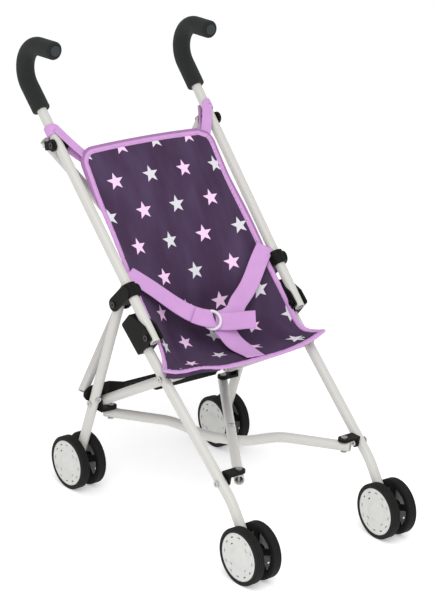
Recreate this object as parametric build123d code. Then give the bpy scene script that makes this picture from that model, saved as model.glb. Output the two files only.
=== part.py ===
from build123d import *
import os
from math import asin, atan2, cos, degrees, hypot, radians, sin, tan

# A doll stroller with an umbrella fold: two side frames of white tube on twin wheels,
# crossed braces behind the seat and under it, and a fabric sling seat with a lap belt.
# Millimetres, +Z up, front towards -Y. Each side frame is drawn in its own plane, with
# X outwards, Y back from the front axle and Z up, then set out at its toe angle.

# Overall layout of a side frame
WHEELBASE = 332.0
HALF_TRACK = 105.0
TOE = 1.84
PIVOT_BACK = 228.5
PIVOT_HEIGHT = 286.6
PIVOT_ARM = 29.0
UPPER_LEAN = 44.5
KNEE_DROP = 61.4
HANDLE_HEIGHT = 547.7

# Tubes
TUBE_D = 12.5
TUBE_WALL = 1.2
TUBE_TAIL = 8.0

# Front leg: a steep shin above the wheels, then a flatter run that passes below the knee's rivet
SHIN_LEAN = 34.5
SHIN_LENGTH = 62.0
SHIN_BEND_R = 70.0
KNEE_OFFSET = 19.8
FRONT_PAST_KNEE = 33.2
RAIL_HOLE = 169.4
RAIL_NOSE = 15.0
RAIL_TAIL = 1.5
BRACKET_HOLE = 26.0

# Rear leg, holes measured up from the axle
REAR_BRACKET_HOLE = 92.4
BRACE_HOLE = 102.0

# Handle and grip, with the foam's length measured down from the handle's corner
GRIP_BEND_R = 30.7
GRIP_NOSE = 31.0
GRIP_LENGTH = 109.6
GRIP_D = 22.5
GRIP_EDGE = 2.0
PLUG_D = 13.0
PLUG_HEAD = 2.0
PLUG_STEM = 14.0

# Moulded brackets and hinge parts
SLEEVE_D = 19.2
SLEEVE_LENGTH = 17.0
CHEEK_R = 8.4
CHEEK_T = 3.2
CHANNEL_WALL = 3.0
CHANNEL_BELOW = 6.5
CHANNEL_ABOVE = 38.0
CHANNEL_CORNER = 2.5
EAR_R = 6.0
BLOCK_BELOW_GRIP = 49.5
BLOCK_EAR_R = 7.5
BLOCK_EAR_T = 3.0
BLOCK_GAP = 0.7
BLOCK_WALL_IN = 12.0
BLOCK_WALL_T = 3.8
BLOCK_HALF_H = 5.5
PLATE_T = 3.0
ARM_T = 3.5
LUG_REACH = 26.0
LUG_R = 7.5
PLATE_R = 5.6

# Lock bar, two flat halves that overlap in the middle
LOCK_T = 3.5
LOCK_H = 22.0
LOCK_PAST_MIDDLE = 30.0
LOCK_STEP_START = 25.0
LOCK_STEP_END = 42.0
LOCK_STEP_DEPTH = 7.65
LOCK_PIN_D = 9.0
LOCK_PIN_H = 1.6
LOCK_TO_BRACE = 5.0

# Crossed braces: one of each pair bows round the other, over these shares of its length
BRACE_BOW = 13.2
BRACE_BOW_R = 90.0
FLOOR_BOW = (0.27, 0.42, 0.58, 0.73)
BACK_BOW = (0.30, 0.44, 0.56, 0.70)

# Rivets and axles
RIVET_D = 5.0
RIVET_HEAD_D = 8.0
RIVET_HEAD_T = 1.5
RIVET_EYE_D = 3.2
RIVET_EYE_DEPTH = 1.0
AXLE_D = 5.0

# Wheels
TYRE_D = 68.6
TYRE_W = 11.5
TYRE_SHOULDER = 2.2
TYRE_T = 5.4
GROOVE_W = 1.0
GROOVE_DEPTH = 0.7
GROOVE_PITCH = 2.8
WHEEL_SPACE = 14.0
RIM_T = 4.4
RIM_SPOKES = 5
SPOKE_W = 7.5
SPOKE_T = 3.2
HUB_D = 14.0
CAP_T = 1.7
CAP_DOME = 1.3
CAP_DOME_D = 28.0
CAP_SLOTS = 12
CAP_SLOT_R = 24.0
CAP_SLOT_L = 4.2
CAP_SLOT_W = 1.6
CAP_INNER_SLOTS = 4
CAP_INNER_SLOT_R = 17.5

# Sling seat, from the top of the backrest down to the front of the seat: its edge inside the
# track, behind the pivots and above them, and its middle behind the pivots and above them
SEAT_T = 2.0
SEAT_EDGE = [
    (8.0, 112.5, 141.4),
    (6.0, 78.5, 95.4),
    (5.0, 39.5, 45.4),
    (6.0, 9.5, 5.4),
    (8.0, -14.5, -24.6),
    (7.0, -45.5, -46.6),
    (-5.0, -76.5, -65.6),
    (-14.0, -90.5, -74.6),
]
SEAT_MIDDLE = [
    (114.5, 140.9),
    (82.5, 94.4),
    (53.5, 44.9),
    (30.5, 3.4),
    (18.0, -30.6),
    (-6.0, -72.6),
    (-60.3, -82.1),
    (-88.7, -80.1),
]
LOOP_BELOW_GRIP = 30.5
LOOP_W = 13.0
LOOP_T = 1.6
LOOP_SEAM = 1.7
STRAP_W = 19.0
STRAP_T = 1.6
STRAP_FACING = (0.0, -0.85, 0.53)
BELT_SIDE = (12.0, 13.9, 14.4)
BELT_SAG = 6.0
BELT_TAIL = (36.0, -58.5, -43.6)
TAIL_RISE = 3.5
RING_AT = (2.0, -28.5, -48.6)
RING_D = 26.0
RING_WIRE = 4.0
CROTCH_FRONT = (12.0, -82.5, -75.8)

# Clearances
RUNNING = 0.05
SEATED = 0.05
CLEAR = 0.4
PLATE_GAP = 0.5
RING_GAP = 0.65

# Points of a side frame
TUBE_R = TUBE_D / 2
AXLE_H = TYRE_D / 2
TYRE_SEAT_D = TYRE_D - 2 * TYRE_T
LATERAL = Vector(1, 0, 0)


def leaning(angle):
    """Unit direction in the side plane, leaning back from upright by an angle."""
    return Vector(0, sin(radians(angle)), cos(radians(angle)))


def behind(direction):
    """The direction turned a quarter turn towards the back."""
    return Vector(0, direction.Z, -direction.Y)


UP = leaning(UPPER_LEAN)
FRONT_HUB = Vector(0, 0, AXLE_H)
REAR_HUB = Vector(0, WHEELBASE, AXLE_H)
PIVOT = Vector(0, PIVOT_BACK, PIVOT_HEIGHT)
KNEE = PIVOT - UP * KNEE_DROP
LEG_PIVOT = PIVOT + behind(UP) * PIVOT_ARM
REAR = (LEG_PIVOT - REAR_HUB).normalized()
BEND = FRONT_HUB + leaning(SHIN_LEAN) * SHIN_LENGTH
BEND_TO_KNEE = KNEE - BEND
FRONT_LEAN = degrees(atan2(BEND_TO_KNEE.Y, BEND_TO_KNEE.Z) + asin(KNEE_OFFSET / BEND_TO_KNEE.length))
FRONT = leaning(FRONT_LEAN)
FRONT_LENGTH = BEND_TO_KNEE.dot(FRONT) + FRONT_PAST_KNEE
RAIL_FRONT = BEND + FRONT * RAIL_HOLE
FRONT_RIVET = BEND + FRONT * BRACKET_HOLE
REAR_RIVET = REAR_HUB + REAR * REAR_BRACKET_HOLE
LOCK_PIVOT = REAR_HUB + REAR * BRACE_HOLE
GRIP_CORNER = PIVOT + UP * ((HANDLE_HEIGHT - PIVOT_HEIGHT) / UP.Z)
GRIP_START = GRIP_CORNER - UP * GRIP_LENGTH
BLOCK = GRIP_START - UP * BLOCK_BELOW_GRIP
GRIP_TURN = 90 + UPPER_LEAN
GRIP_END = GRIP_CORNER - Vector(0, GRIP_BEND_R * tan(radians(GRIP_TURN / 2)) + GRIP_NOSE, 0)
PLATE_OUT = TUBE_R + PLATE_GAP
RAIL_OFFSET = PLATE_OUT + PLATE_T + CLEAR + TUBE_R
LOCK_FACE = TUBE_R + CLEAR
BRACE_BEHIND_LEG = LOCK_FACE + LOCK_T + RIVET_HEAD_T + LOCK_TO_BRACE + TUBE_R
BRACE_OFFSET = BLOCK_WALL_IN + BLOCK_WALL_T + CLEAR + TUBE_R
ARM_LOW = TUBE_R + CLEAR
WHEEL_OFFSET = (WHEEL_SPACE + TYRE_W) / 2
SIDE = Location((HALF_TRACK, 0, 0), (0, 0, -TOE))


def on_right(point):
    """Where a point of the side plane lies on the right side frame."""
    turned = Vector(point).rotate(Axis.Z, -TOE)
    return Vector(HALF_TRACK, 0, 0) + turned


def flip(point):
    """The same point on the other side of the middle plane."""
    return Vector(-point.X, point.Y, point.Z)


def from_pivots(across, back, up):
    """Point given by its distance from the middle plane, behind the pivots and above them."""
    return Vector(across, PIVOT_BACK + back, PIVOT_HEIGHT + up)


def at_edge(inset, back, up):
    """Point given by its distance inside the track, behind the pivots and above them."""
    return from_pivots(HALF_TRACK - inset, back, up)


# Points of the crossed braces, on the right side
BLOCK_RIGHT = on_right(BLOCK)
BRACE_FOOT = on_right(LOCK_PIVOT) + behind(REAR) * BRACE_BEHIND_LEG
FOOT_TO_BLOCK = BLOCK_RIGHT - BRACE_FOOT
FOOT_RISE = hypot(FOOT_TO_BLOCK.Y, FOOT_TO_BLOCK.Z)
BRACE = leaning(degrees(atan2(FOOT_TO_BLOCK.Y, FOOT_TO_BLOCK.Z) + asin(BRACE_OFFSET / FOOT_RISE)))
BRACE_HEAD = BLOCK_RIGHT + behind(BRACE) * BRACE_OFFSET
REAR_DROP = REAR_RIVET.Z - FRONT_RIVET.Z
FRONT_LUG = on_right(FRONT_RIVET) - LATERAL * LUG_REACH
REAR_LUG = on_right(REAR_RIVET) - LATERAL * LUG_REACH - Vector(0, 0, REAR_DROP)


# Shared shapes
def rod(start, end, diameter):
    """Solid round bar between two points."""
    plane = Plane(start, z_dir=end - start)
    return extrude(plane * Circle(diameter / 2), amount=(end - start).length)


def pipe(points, outer_d, inner_d, bend=None):
    """Round pipe along straight runs joined by tangent arcs."""
    path = Line(*points) if bend is None else FilletPolyline(*points, radius=bend)
    ring = Circle(outer_d / 2) - Circle(inner_d / 2)
    return sweep(Plane(path @ 0, z_dir=path % 0) * ring, path=path)


def frame_tube(points, bend=None):
    """Frame tube of the common size."""
    return pipe(points, TUBE_D, TUBE_D - 2 * TUBE_WALL, bend)


def cross_hole(centre, direction, diameter, clearance):
    """Cutter for a rivet or axle hole through a tube."""
    reach = direction * (TUBE_D * 2)
    return rod(centre - reach, centre + reach, diameter + 2 * clearance)


def rivet(start, end):
    """Rivet whose shank fills the stack from start to end, with a flat head on both sides."""
    head = (end - start).normalized() * RIVET_HEAD_T
    far_head = rod(end, end + head, RIVET_HEAD_D) - rivet_eye(end + head, -head)
    return stub_rivet(start, end) + far_head


def rivet_eye(top, into):
    """Cutter for the shallow eye in the top of a rivet's head."""
    return rod(top, top + into.normalized() * RIVET_EYE_DEPTH, RIVET_EYE_D)


def stub_rivet(start, end):
    """Rivet with one head, at its start, and a flush end."""
    head = (end - start).normalized() * RIVET_HEAD_T
    body = rod(start, end, RIVET_D) + rod(start - head, start, RIVET_HEAD_D)
    return body - rivet_eye(start - head, head)


def strap(points, width, thickness, facing):
    """Flat strap along points, lofted through straight cross-sections that face one way."""
    faces = []
    for index, point in enumerate(points):
        before = points[max(index - 1, 0)]
        after = points[min(index + 1, len(points) - 1)]
        along = after - before
        plane = Plane(point, x_dir=Vector(facing).cross(along), z_dir=along)
        faces.append(plane * Rectangle(width, thickness))
    return loft(faces, ruled=True)


def sagging(start, end, sag, runs):
    """Points along a shallow curve that hangs below the line from start to end."""
    steps = [index / runs for index in range(runs + 1)]
    return [start + (end - start) * t - Vector(0, 0, 4 * sag * t * (1 - t)) for t in steps]


# Side frame pieces, drawn in the side plane
def handle_tube():
    """Upper tube from the knee to the hooked handle."""
    tail = KNEE - UP * TUBE_TAIL
    tube = frame_tube([tail, GRIP_CORNER, GRIP_END], GRIP_BEND_R)
    return tube - cross_hole(KNEE, LATERAL, RIVET_D, RUNNING)


def foam_grip():
    """Foam sleeve over the hooked end of the handle, with softened rims."""
    grip = pipe([GRIP_START, GRIP_CORNER, GRIP_END], GRIP_D, TUBE_D + 2 * SEATED, GRIP_BEND_R)
    rims = [e for e in grip.edges().filter_by(GeomType.CIRCLE) if abs(e.radius - GRIP_D / 2) < SEATED]
    ends = [e for e in rims if min((e.arc_center - p).length for p in (GRIP_START, GRIP_END)) < GRIP_EDGE]
    return fillet(ends, GRIP_EDGE)


def grip_end_plug():
    """Plastic plug closing the handle tube."""
    bore = TUBE_D - 2 * TUBE_WALL - 2 * SEATED
    head = rod(GRIP_END, GRIP_END - Vector(0, PLUG_HEAD, 0), PLUG_D)
    return head + rod(GRIP_END + Vector(0, PLUG_STEM, 0), GRIP_END, bore)


def pivot_bracket():
    """Sleeve on the handle tube with a forked arm that holds the rear leg."""
    back = behind(UP)
    inner = TUBE_R + CLEAR
    width = 2 * (inner + CHEEK_T)
    arm_plane = Plane(PIVOT + back * (PIVOT_ARM / 2), x_dir=back, z_dir=LATERAL)
    arm = extrude(arm_plane * SlotCenterToCenter(PIVOT_ARM, 2 * CHEEK_R), amount=width / 2, both=True)
    sleeve = rod(PIVOT - UP * (SLEEVE_LENGTH / 2), PIVOT + UP * (SLEEVE_LENGTH / 2), SLEEVE_D)
    fork_start = PIVOT_ARM - hypot(TUBE_TAIL, TUBE_R) - CLEAR
    fork_depth = PIVOT_ARM + CHEEK_R - fork_start
    fork_plane = Plane(PIVOT + back * (fork_start + fork_depth), x_dir=back, z_dir=LATERAL)
    fork = extrude(fork_plane * Rectangle(2 * fork_depth, 4 * CHEEK_R), amount=inner, both=True)
    bore = rod(PIVOT - UP * SLEEVE_LENGTH, PIVOT + UP * SLEEVE_LENGTH, TUBE_D + 2 * SEATED)
    hole = cross_hole(LEG_PIVOT, LATERAL, RIVET_D, SEATED)
    return arm + sleeve - fork - bore - hole


def rear_leg():
    """Straight rear leg from the pivot arm to the axle."""
    tube = frame_tube([REAR_HUB - REAR * TUBE_TAIL, LEG_PIVOT + REAR * TUBE_TAIL])
    tube -= cross_hole(LEG_PIVOT, LATERAL, RIVET_D, RUNNING)
    tube -= cross_hole(REAR_HUB, LATERAL, AXLE_D, RUNNING)
    return tube - cross_hole(REAR_RIVET, LATERAL, RIVET_D, SEATED)


def front_leg():
    """Front leg with a bend above the wheels, plugged into the hinge channel at the top."""
    foot = FRONT_HUB - leaning(SHIN_LEAN) * TUBE_TAIL
    tube = frame_tube([foot, BEND, BEND + FRONT * FRONT_LENGTH], SHIN_BEND_R)
    tube -= cross_hole(FRONT_HUB, LATERAL, AXLE_D, RUNNING)
    return tube - cross_hole(RAIL_FRONT, LATERAL, RIVET_D, SEATED)


def hinge_channel():
    """Moulded knee: a socket on the front leg and a groove that takes the handle tube."""
    foot = BEND + FRONT * BEND_TO_KNEE.dot(FRONT)
    offset = KNEE_OFFSET
    inner = TUBE_R + CLEAR
    half_width = inner + CHANNEL_WALL
    back = TUBE_R + CHANNEL_WALL
    plane = Plane(foot, x_dir=FRONT, z_dir=LATERAL)
    outline = Polygon(
        (-CHANNEL_BELOW, -back),
        (CHANNEL_ABOVE, -back),
        (CHANNEL_ABOVE, offset - TUBE_R),
        (EAR_R * 2, offset + EAR_R),
        (-CHANNEL_BELOW, offset + EAR_R),
        align=None,
    )
    outline = fillet(outline.vertices(), CHANNEL_CORNER)
    body = extrude(plane * outline, amount=half_width, both=True)
    groove_plane = Plane(KNEE, x_dir=UP, z_dir=LATERAL)
    reach = 2 * (CHANNEL_ABOVE + offset)
    groove_shape = Pos(0, reach / 2 - inner) * Rectangle(2 * reach, reach)
    swing = Circle(hypot(TUBE_TAIL, TUBE_R) + CLEAR)
    groove = extrude(groove_plane * (groove_shape + swing), amount=inner, both=True)
    top = BEND + FRONT * (FRONT_LENGTH + SEATED)
    socket = rod(foot - FRONT * (2 * CHANNEL_BELOW), top, TUBE_D + 2 * SEATED)
    hole = cross_hole(KNEE, LATERAL, RIVET_D, SEATED)
    return body - groove - socket - hole


def side_rail():
    """Rail inside the legs, from the front leg to the rear bracket."""
    along = (REAR_RIVET - RAIL_FRONT).normalized()
    shift = LATERAL * -RAIL_OFFSET
    nose = RAIL_FRONT - along * RAIL_NOSE + shift
    tail = REAR_RIVET + along * RAIL_TAIL + shift
    return frame_tube([nose, tail])


def rail_rivet():
    """Rivet at the back of a rail, headed inside, that turns in the rear bracket's plate."""
    at = on_right(REAR_RIVET)
    return stub_rivet(at - LATERAL * (RAIL_OFFSET + TUBE_R + CLEAR), at - LATERAL * (PLATE_OUT + RUNNING))


def rail_spacer():
    """Collar on the rail rivet that keeps the rail off the front leg."""
    inner = RAIL_FRONT - LATERAL * (RAIL_OFFSET - TUBE_R - CLEAR)
    return rod(RAIL_FRONT - LATERAL * TUBE_R, inner, RIVET_HEAD_D)


def handle_rivets():
    """Pivot rivet of the rear leg, held in the fork's cheeks."""
    half = LATERAL * (TUBE_R + CLEAR + CHEEK_T)
    return rivet(LEG_PIVOT - half, LEG_PIVOT + half)


def front_leg_rivets():
    """Knee rivet and the collared rivet beside the rail."""
    half = LATERAL * (TUBE_R + CLEAR + CHANNEL_WALL)
    knee = rivet(KNEE - half, KNEE + half)
    inside = RAIL_FRONT - LATERAL * (RAIL_OFFSET - TUBE_R - CLEAR)
    rail = stub_rivet(RAIL_FRONT + LATERAL * TUBE_R, inside) + rail_spacer()
    return knee, rail


def rear_leg_rivet():
    """Outer rivet at the rear bracket."""
    return stub_rivet(REAR_RIVET + LATERAL * TUBE_R, REAR_RIVET - LATERAL * TUBE_R)


# Wheels, drawn about the X axis with the outside towards +X
def tyre():
    """Soft tyre with rounded shoulders and three grooves round the tread."""
    half = TYRE_W / 2
    seat = TYRE_SEAT_D / 2
    radius = TYRE_D / 2
    crown = []
    for step in (1, 0, -1):
        middle = step * GROOVE_PITCH
        crown += [
            (middle + GROOVE_W / 2, radius),
            (middle, radius - GROOVE_DEPTH),
            (middle - GROOVE_W / 2, radius),
        ]
    shoulder = radius - TYRE_SHOULDER
    flat = half - TYRE_SHOULDER / 2
    outline = [(-half, seat), (half, seat), (half, shoulder), (flat, radius)]
    outline += crown + [(-flat, radius), (-half, shoulder)]
    return revolve(Polygon(*outline, align=None), Axis.X)


def rim():
    """Spoked plastic rim, open on the inside of the wheel."""
    half = TYRE_W / 2
    radius = TYRE_SEAT_D / 2 - SEATED
    cap_back = half - CAP_T - SEATED
    ring = Polygon(
        (SPOKE_T - half, radius - RIM_T), (cap_back, radius - RIM_T), (cap_back, radius), (-half, radius),
        (-half, radius - RIM_T / 2), align=None,
    )
    body = revolve(ring, Axis.X)
    body += Pos(-half, 0, 0) * extrude(Plane.YZ * Circle(HUB_D / 2), amount=half + cap_back)
    spoke_l = radius - RIM_T / 2
    spoke = Pos(SPOKE_T / 2 - half, 0, spoke_l / 2) * Box(SPOKE_T, SPOKE_W, spoke_l)
    for index in range(RIM_SPOKES):
        body += Rot(index * 360 / RIM_SPOKES, 0, 0) * spoke
    return body - rod(Vector(-TYRE_W, 0, 0), Vector(TYRE_W, 0, 0), AXLE_D + 2 * SEATED)


def wheel_cap():
    """White dished cap with a ring of short slots and a raised middle."""
    face = TYRE_W / 2
    radius = TYRE_SEAT_D / 2 - SEATED
    dome = CAP_DOME_D / 2
    outline = Polygon(
        (face - CAP_T, 0), (face - CAP_T, radius), (face - CAP_T / 4, radius), (face, radius - CAP_T),
        (face - CAP_T / 3, dome + CAP_T), (face - CAP_T / 3, dome), (face + CAP_DOME * 0.8, dome * 0.6),
        (face + CAP_DOME, 0), align=None,
    )
    cap = revolve(outline, Axis.X)
    slot = Pos(face, 0, CAP_SLOT_R) * Box(4 * CAP_T, CAP_SLOT_L, CAP_SLOT_W)
    inner = Pos(face, 0, CAP_INNER_SLOT_R) * Box(4 * CAP_T, CAP_SLOT_L, CAP_SLOT_W)
    slots = [Rot(i * 360 / CAP_SLOTS, 0, 0) * slot for i in range(CAP_SLOTS)]
    slots += [Rot((i + 0.5) * 360 / CAP_INNER_SLOTS, 0, 0) * inner for i in range(CAP_INNER_SLOTS)]
    return cap - slots


def twin(solid, hub):
    """A wheel piece on both sides of the leg."""
    outer = Pos(WHEEL_OFFSET, 0, 0) * solid
    return [Pos(*hub) * outer, Pos(*hub) * mirror(outer, Plane.YZ)]


def axle(hub):
    """Axle through the leg, ending inside both hubs."""
    half = LATERAL * (WHEEL_OFFSET + TYRE_W / 2 - CAP_T - CLEAR)
    return rod(hub - half, hub + half, AXLE_D)


# Pieces square to the middle plane, drawn at the right side
def brace_block():
    """Yoke that straddles the handle tube and carries the head of a back brace."""
    at = BLOCK_RIGHT
    inner = TUBE_R + BLOCK_GAP
    half_width = inner + BLOCK_EAR_T
    back = behind(BRACE)
    depth = BLOCK_WALL_IN + BLOCK_WALL_T
    plane = Plane(at, x_dir=back, z_dir=LATERAL)
    shape = Circle(BLOCK_EAR_R) + Pos(depth / 2, 0) * Rectangle(depth, 2 * BLOCK_HALF_H)
    body = extrude(plane * shape, amount=half_width, both=True)
    space = Rectangle(BLOCK_WALL_IN + 2 * BLOCK_EAR_R, 4 * BLOCK_EAR_R)
    body -= extrude(plane * Pos(BLOCK_WALL_IN / 2 - BLOCK_EAR_R, 0) * space, amount=inner, both=True)
    body -= cross_hole(at, LATERAL, RIVET_D, RUNNING)
    return body - cross_hole(at + back * depth, back, RIVET_D, RUNNING)


def block_rivet():
    """Cross rivet of a brace block through the handle tube."""
    half = LATERAL * (TUBE_R + BLOCK_GAP + BLOCK_EAR_T + RUNNING)
    return rivet(BLOCK_RIGHT - half, BLOCK_RIGHT + half)


def floor_bracket(pivot, drop):
    """L-shaped bracket: a plate on the leg's rivet and an arm over the end of a floor brace."""
    at = on_right(pivot)
    low = ARM_LOW - drop
    high = low + ARM_T
    tip = LUG_REACH
    arm_shape = SlotCenterToCenter(2 * (tip - PLATE_OUT - LUG_R), 2 * LUG_R)
    arm = extrude(Plane(at + Vector(-PLATE_OUT - LUG_R, 0, low)) * arm_shape, amount=ARM_T)
    keep = Pos(at.X - PLATE_OUT - tip, at.Y, at.Z + low) * Box(2 * tip, 4 * LUG_R, 4 * ARM_T)
    arm = arm & keep
    far = high if drop == 0 else low
    plate_plane = Plane(at + Vector(-PLATE_OUT, 0, 0), x_dir=(0, 1, 0), z_dir=(-1, 0, 0))
    web = Polygon((-LUG_R, -far), (LUG_R, -far), (PLATE_R, 0), (-PLATE_R, 0), align=None)
    plate = extrude(plate_plane * (web + Circle(PLATE_R)), amount=PLATE_T, dir=(-1, 0, 0))
    body = arm + plate
    body -= rod(at, at - LATERAL * (2 * PLATE_OUT), RIVET_D + 2 * RUNNING)
    lug = at - LATERAL * tip
    below = lug + Vector(0, 0, low - ARM_T)
    above = lug + Vector(0, 0, high + ARM_T)
    return body - rod(below, above, RIVET_D + 2 * RUNNING)


def lock_rivet():
    """Rivet through the rear leg that the lock bar turns on."""
    at = on_right(LOCK_PIVOT)
    back = behind(REAR)
    return rivet(at - back * TUBE_R, at + back * (LOCK_FACE + LOCK_T + RUNNING))


def bracket_rivet():
    """Rivet of the front bracket, through the front leg."""
    at = on_right(FRONT_RIVET)
    head = at + LATERAL * (TUBE_R + CLEAR / 2)
    return rivet(head, at - LATERAL * (PLATE_OUT + PLATE_T + RUNNING))


def bowed_tube(first, start, end, last, shares, bow):
    """Tube that steps aside by the bow between four shares of the way from start to end."""
    leave, out, back, rejoin = [start + (end - start) * share for share in shares]
    return frame_tube([first, leave, out + bow, back + bow, rejoin, last], BRACE_BOW_R)


def floor_brace(start, end, dip):
    """Tube under the seat from a front lug to the rear lug of the other side."""
    along = (end - start).normalized()
    first = start - along * TUBE_TAIL
    last = end + along * TUBE_TAIL
    if dip == 0:
        tube = frame_tube([first, last])
    else:
        tube = bowed_tube(first, start, end, last, FLOOR_BOW, Vector(0, 0, -dip))
    for lug in (start, end):
        tube -= cross_hole(lug, Vector(0, 0, 1), RIVET_D, SEATED)
    return tube


def crossing(start, end):
    """Point where a brace passes the middle plane."""
    return start + (end - start) * (start.X / (start.X - end.X))


def floor_bolt():
    """Bolt at the crossing of the floor braces."""
    at = crossing(flip(FRONT_LUG), REAR_LUG)
    return stub_rivet(at + Vector(0, 0, TUBE_R), at - Vector(0, 0, TUBE_R))


def back_bolt():
    """Bolt at the crossing of the back braces."""
    at = crossing(flip(BRACE_HEAD), BRACE_FOOT)
    return stub_rivet(at - behind(BRACE) * TUBE_R, at + behind(BRACE) * TUBE_R)


def lug_rivet(lug):
    """Upright rivet through a bracket's lug and the brace under it."""
    return rivet(lug - Vector(0, 0, TUBE_R), lug + Vector(0, 0, ARM_LOW + ARM_T + RUNNING))


def back_brace(head, foot, bow):
    """Tube behind the seat from a brace block to the rear leg of the other side."""
    along = (foot - head).normalized()
    first = head - along * TUBE_TAIL
    last = foot + along * TUBE_TAIL
    if bow == 0:
        tube = frame_tube([first, last])
    else:
        tube = bowed_tube(first, head, foot, last, BACK_BOW, behind(BRACE) * bow)
    return tube - cross_hole(head, behind(BRACE), RIVET_D, SEATED)


def brace_rivet(head):
    """Rivet through a brace's head and the wall of its block."""
    back = behind(BRACE)
    return rivet(head + back * TUBE_R, head - back * (TUBE_R + CLEAR + BLOCK_WALL_T + RUNNING))


def lock_bar(layer):
    """Half of the lock bar: flat behind the leg, stepped forward between the legs."""
    at = on_right(LOCK_PIVOT)
    back = behind(REAR)
    length = at.X + LOCK_PAST_MIDDLE
    plane = Plane(at, x_dir=-LATERAL, z_dir=REAR)
    sign = 1 if plane.y_dir.dot(back) > 0 else -1
    near = LOCK_FACE
    step = LOCK_FACE - LOCK_STEP_DEPTH - layer * (LOCK_T + CLEAR)
    half = LOCK_H / 2
    line = [(-half, near), (LOCK_STEP_START, near), (LOCK_STEP_END, step), (length, step)]
    line += [(length, step + LOCK_T), (LOCK_STEP_END, step + LOCK_T)]
    line += [(LOCK_STEP_START, near + LOCK_T), (-half, near + LOCK_T)]
    outline = Polygon(*[(x, sign * y) for x, y in line], align=None)
    body = extrude(plane * outline, amount=half, both=True)
    middle = at - LATERAL * (length / 2 - half / 2)
    ends = Plane(middle, x_dir=LATERAL, z_dir=back) * SlotOverall(length + half, LOCK_H)
    body = body & extrude(ends, amount=2 * LOCK_H, both=True)
    return body - cross_hole(at, back, RIVET_D, RUNNING)


def lock_pin():
    """Round boss in the middle of the lock bar's front half."""
    at = on_right(LOCK_PIVOT)
    back = behind(REAR)
    face = LOCK_FACE - LOCK_STEP_DEPTH - LOCK_T - CLEAR
    middle = Vector(0, at.Y, at.Z) + back * face
    return rod(middle, middle - back * LOCK_PIN_H, LOCK_PIN_D)


# Soft pieces
def seat():
    """Sling seat lofted through shallow arcs from the top of the backrest to the front edge."""
    faces = []
    for edge_place, middle_place in zip(SEAT_EDGE, SEAT_MIDDLE):
        edge = at_edge(*edge_place)
        middle = from_pivots(0, *middle_place)
        chord = Vector(0, edge.Y, edge.Z)
        plane = Plane(chord, x_dir=LATERAL, z_dir=LATERAL.cross(middle - chord))
        faces.append(sling_section(plane, edge, middle))
    return loft(faces)


def sling_section(plane, edge, middle):
    """Closed strip of the sling's thickness along an arc from edge to edge."""
    half = edge.X
    sag = plane.to_local_coords(middle).Y
    side = 1 if sag > 0 else -1
    out = side * SEAT_T
    upper = ThreePointArc((-half, 0), (0, sag), (half, 0))
    lower = ThreePointArc((half, out), (0, sag + out), (-half, out))
    ends = [Line((half, 0), (half, out)), Line((-half, out), (-half, 0))]
    return plane * make_face([upper, ends[0], lower, ends[1]])


def seat_loop():
    """Webbing loop round the handle tube with a tail down to the seat's top corner."""
    at = GRIP_START - UP * LOOP_BELOW_GRIP
    half = UP * (LOOP_W / 2)
    outer = TUBE_D + 2 * CLEAR + 2 * LOOP_T
    band = SIDE * pipe([at - half, at + half], outer, TUBE_D + 2 * CLEAR)
    corner = at_edge(*SEAT_EDGE[0])
    to_corner = corner - on_right(at)
    side = (to_corner - UP * to_corner.dot(UP)).normalized()
    start = on_right(at) + side * (outer / 2)
    end = corner + (start - corner).normalized() * LOOP_SEAM
    return band + strap([start, end], LOOP_W, LOOP_T, side)


def ring_centre():
    """Centre of the belt's ring."""
    return from_pivots(*RING_AT)


def at_ring(far, rise=0.0):
    """Point just outside the ring, in its plane, on the way to a far point."""
    facing = Vector(STRAP_FACING).normalized()
    way = far - ring_centre()
    flat = (way - facing * way.dot(facing)).normalized()
    return ring_centre() + flat * (RING_D / 2 + RING_GAP) + facing * rise


def lap_belt(side):
    """Half of the lap belt, from the seat's side to the ring."""
    right = at_edge(*BELT_SIDE)
    start = right if side > 0 else flip(right)
    return strap(sagging(start, at_ring(start), BELT_SAG, 4), STRAP_W, STRAP_T, STRAP_FACING)


def belt_tail():
    """Loose end of the lap belt past the ring."""
    end = from_pivots(*BELT_TAIL)
    points = sagging(at_ring(end, TAIL_RISE), end, -BELT_SAG / 4, 2)
    return strap(points, STRAP_W, STRAP_T, STRAP_FACING)


def crotch_strap():
    """Strap from the ring down to the front edge of the seat."""
    end = from_pivots(*CROTCH_FRONT)
    return strap(sagging(at_ring(end), end, BELT_SAG / 4, 2), STRAP_W, STRAP_T, STRAP_FACING)


def buckle_ring():
    """Plastic ring that joins the straps."""
    return Plane(ring_centre(), z_dir=STRAP_FACING) * Torus((RING_D - RING_WIRE) / 2, RING_WIRE / 2)


PARTS = {}


def add(name, *solids):
    """Store one node: a solid, or a group of solids that share a name."""
    PARTS[name] = Compound([piece for solid in solids for piece in solid.solids()])


def add_pair(name, *solids):
    """Store a right-hand node and its mirror image on the left."""
    add(name + "_right", *solids)
    add(name + "_left", *[mirror(solid, Plane.YZ) for solid in solids])


def placed(solids):
    """Side plane pieces set out on the right side frame."""
    return [SIDE * solid for solid in solids]


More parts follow.
